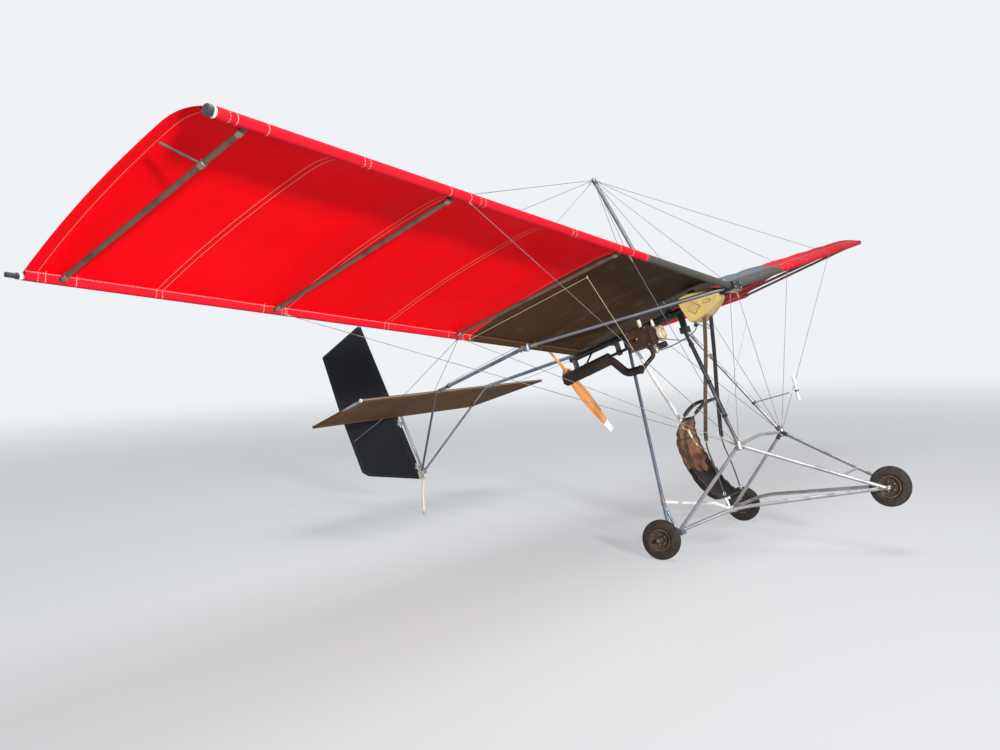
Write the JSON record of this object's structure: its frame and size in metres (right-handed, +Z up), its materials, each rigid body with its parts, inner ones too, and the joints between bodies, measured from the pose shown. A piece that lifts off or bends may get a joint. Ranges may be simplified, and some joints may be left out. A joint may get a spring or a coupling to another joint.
{
  "type": "single-seat ultralight aircraft",
  "caption": "Wire-braced high-wing pusher ultralight: sling seat in an open tube cage under a cambered cloth wing, tail booms, tail skid, all-moving rudder.",
  "frame": {"origin": "bottom centre of the bounding box, on the ground under the machine as it parks on its main wheels and tail skid", "axes": "+Z up, nose toward -Y, port wing toward +X"},
  "size_m": [9.8734, 5.7578, 3.0137],
  "materials": {
    "bare_tube": "drawn bright tube",
    "dull_tube": "dull grey anodised tube",
    "sail_cloth": "stretched coated cloth",
    "stabilizer_cloth": "stretched coated cloth",
    "rudder_cloth": "stretched coated cloth",
    "seat_cloth": "woven sling cloth",
    "webbing": "woven webbing",
    "tyre": "worn",
    "rim_steel": "dark paint over pressed steel, rusty at the edge",
    "steel": "plain",
    "engine_alloy": "heat-darkened casting",
    "engine_paint": "beige paint",
    "black_steel": "matt black, heat stained",
    "wood": "varnished, white tips",
    "tank_plastic": "translucent yellowed plastic",
    "white_plastic": "smooth"
  },
  "bodies": {
    "airframe": {"airspeed_indicator": "white_plastic", "carburettor": "engine_paint", "cross_brace": "bare_tube", "cylinder_head": "engine_alloy", "engine_case": "engine_alloy", "engine_cylinder": "engine_alloy", "exhaust": "black_steel", "foot_bar": "bare_tube", "foot_peg": "bare_tube", "front_down_tube_left": "bare_tube", "front_down_tube_right": "bare_tube", "fuel_tank": "tank_plastic", "keel_tube": "dull_tube", "kingpost": "bare_tube", "leading_edge_left": "bare_tube", "leading_edge_right": "bare_tube", "lower_nose_strut_left": "bare_tube", "lower_nose_strut_right": "bare_tube", "nose_axle": "steel", "rear_leg_left": "bare_tube", "rear_leg_right": "bare_tube", "root_tube_left": "bare_tube", "root_tube_right": "bare_tube", "rudder_post": "bare_tube", "sail_left": "sail_cloth", "sail_right": "sail_cloth", "seat_sling": "seat_cloth", "seat_straps": "webbing", "shaft_bearings": "steel", "side_strut_left": "bare_tube", "side_strut_right": "bare_tube", "stabilizer_frame": "bare_tube", "stabilizer_skin": "stabilizer_cloth", "starter_housing": "engine_paint", "stay_wires": "steel", "tail_boom_left": "dull_tube", "tail_boom_right": "dull_tube", "tail_strut_left": "bare_tube", "tail_strut_right": "bare_tube", "trailing_edge_left": "bare_tube", "trailing_edge_right": "bare_tube", "upper_nose_strut_left": "bare_tube", "upper_nose_strut_right": "bare_tube", "wing_strut_inner_left": "dull_tube", "wing_strut_inner_right": "dull_tube", "wing_strut_middle_left": "dull_tube", "wing_strut_middle_right": "dull_tube", "wing_strut_outer_left": "dull_tube", "wing_strut_outer_right": "dull_tube"},
    "right_wheel": {"right_wheel_rim": "rim_steel", "right_wheel_tyre": "tyre"},
    "left_wheel": {"left_wheel_rim": "rim_steel", "left_wheel_tyre": "tyre"},
    "nose_wheel": {"nose_wheel_rim": "rim_steel", "nose_wheel_tyre": "tyre"},
    "propeller": {"drive_shaft": "steel", "propeller": "wood"},
    "rudder": {"rudder_frame": "bare_tube", "rudder_skin": "rudder_cloth"}
  },
  "joints": [
    {"name": "right_wheel_spin", "type": "hinge", "parent": "airframe", "child": "right_wheel", "pos_m": [-0.835, -1.29099, 0.149], "axis": [1, 0, 0], "continuous": true},
    {"name": "left_wheel_spin", "type": "hinge", "parent": "airframe", "child": "left_wheel", "pos_m": [0.835, -1.29099, 0.149], "axis": [1, 0, 0], "continuous": true},
    {"name": "nose_wheel_spin", "type": "hinge", "parent": "airframe", "child": "nose_wheel", "pos_m": [0, -2.72993, 0.49613], "axis": [1, 0, 0], "continuous": true},
    {"name": "propeller_spin", "type": "hinge", "parent": "airframe", "child": "propeller", "pos_m": [0, -0.05796, 1.33573], "axis": [0, 0.9364, -0.351], "continuous": true},
    {"name": "rudder_hinge", "type": "hinge", "parent": "airframe", "child": "rudder", "pos_m": [0, 1.6323, 0.35777], "axis": [0, 0.4334, 0.9012], "range_deg": [-30, 30]}
  ]
}
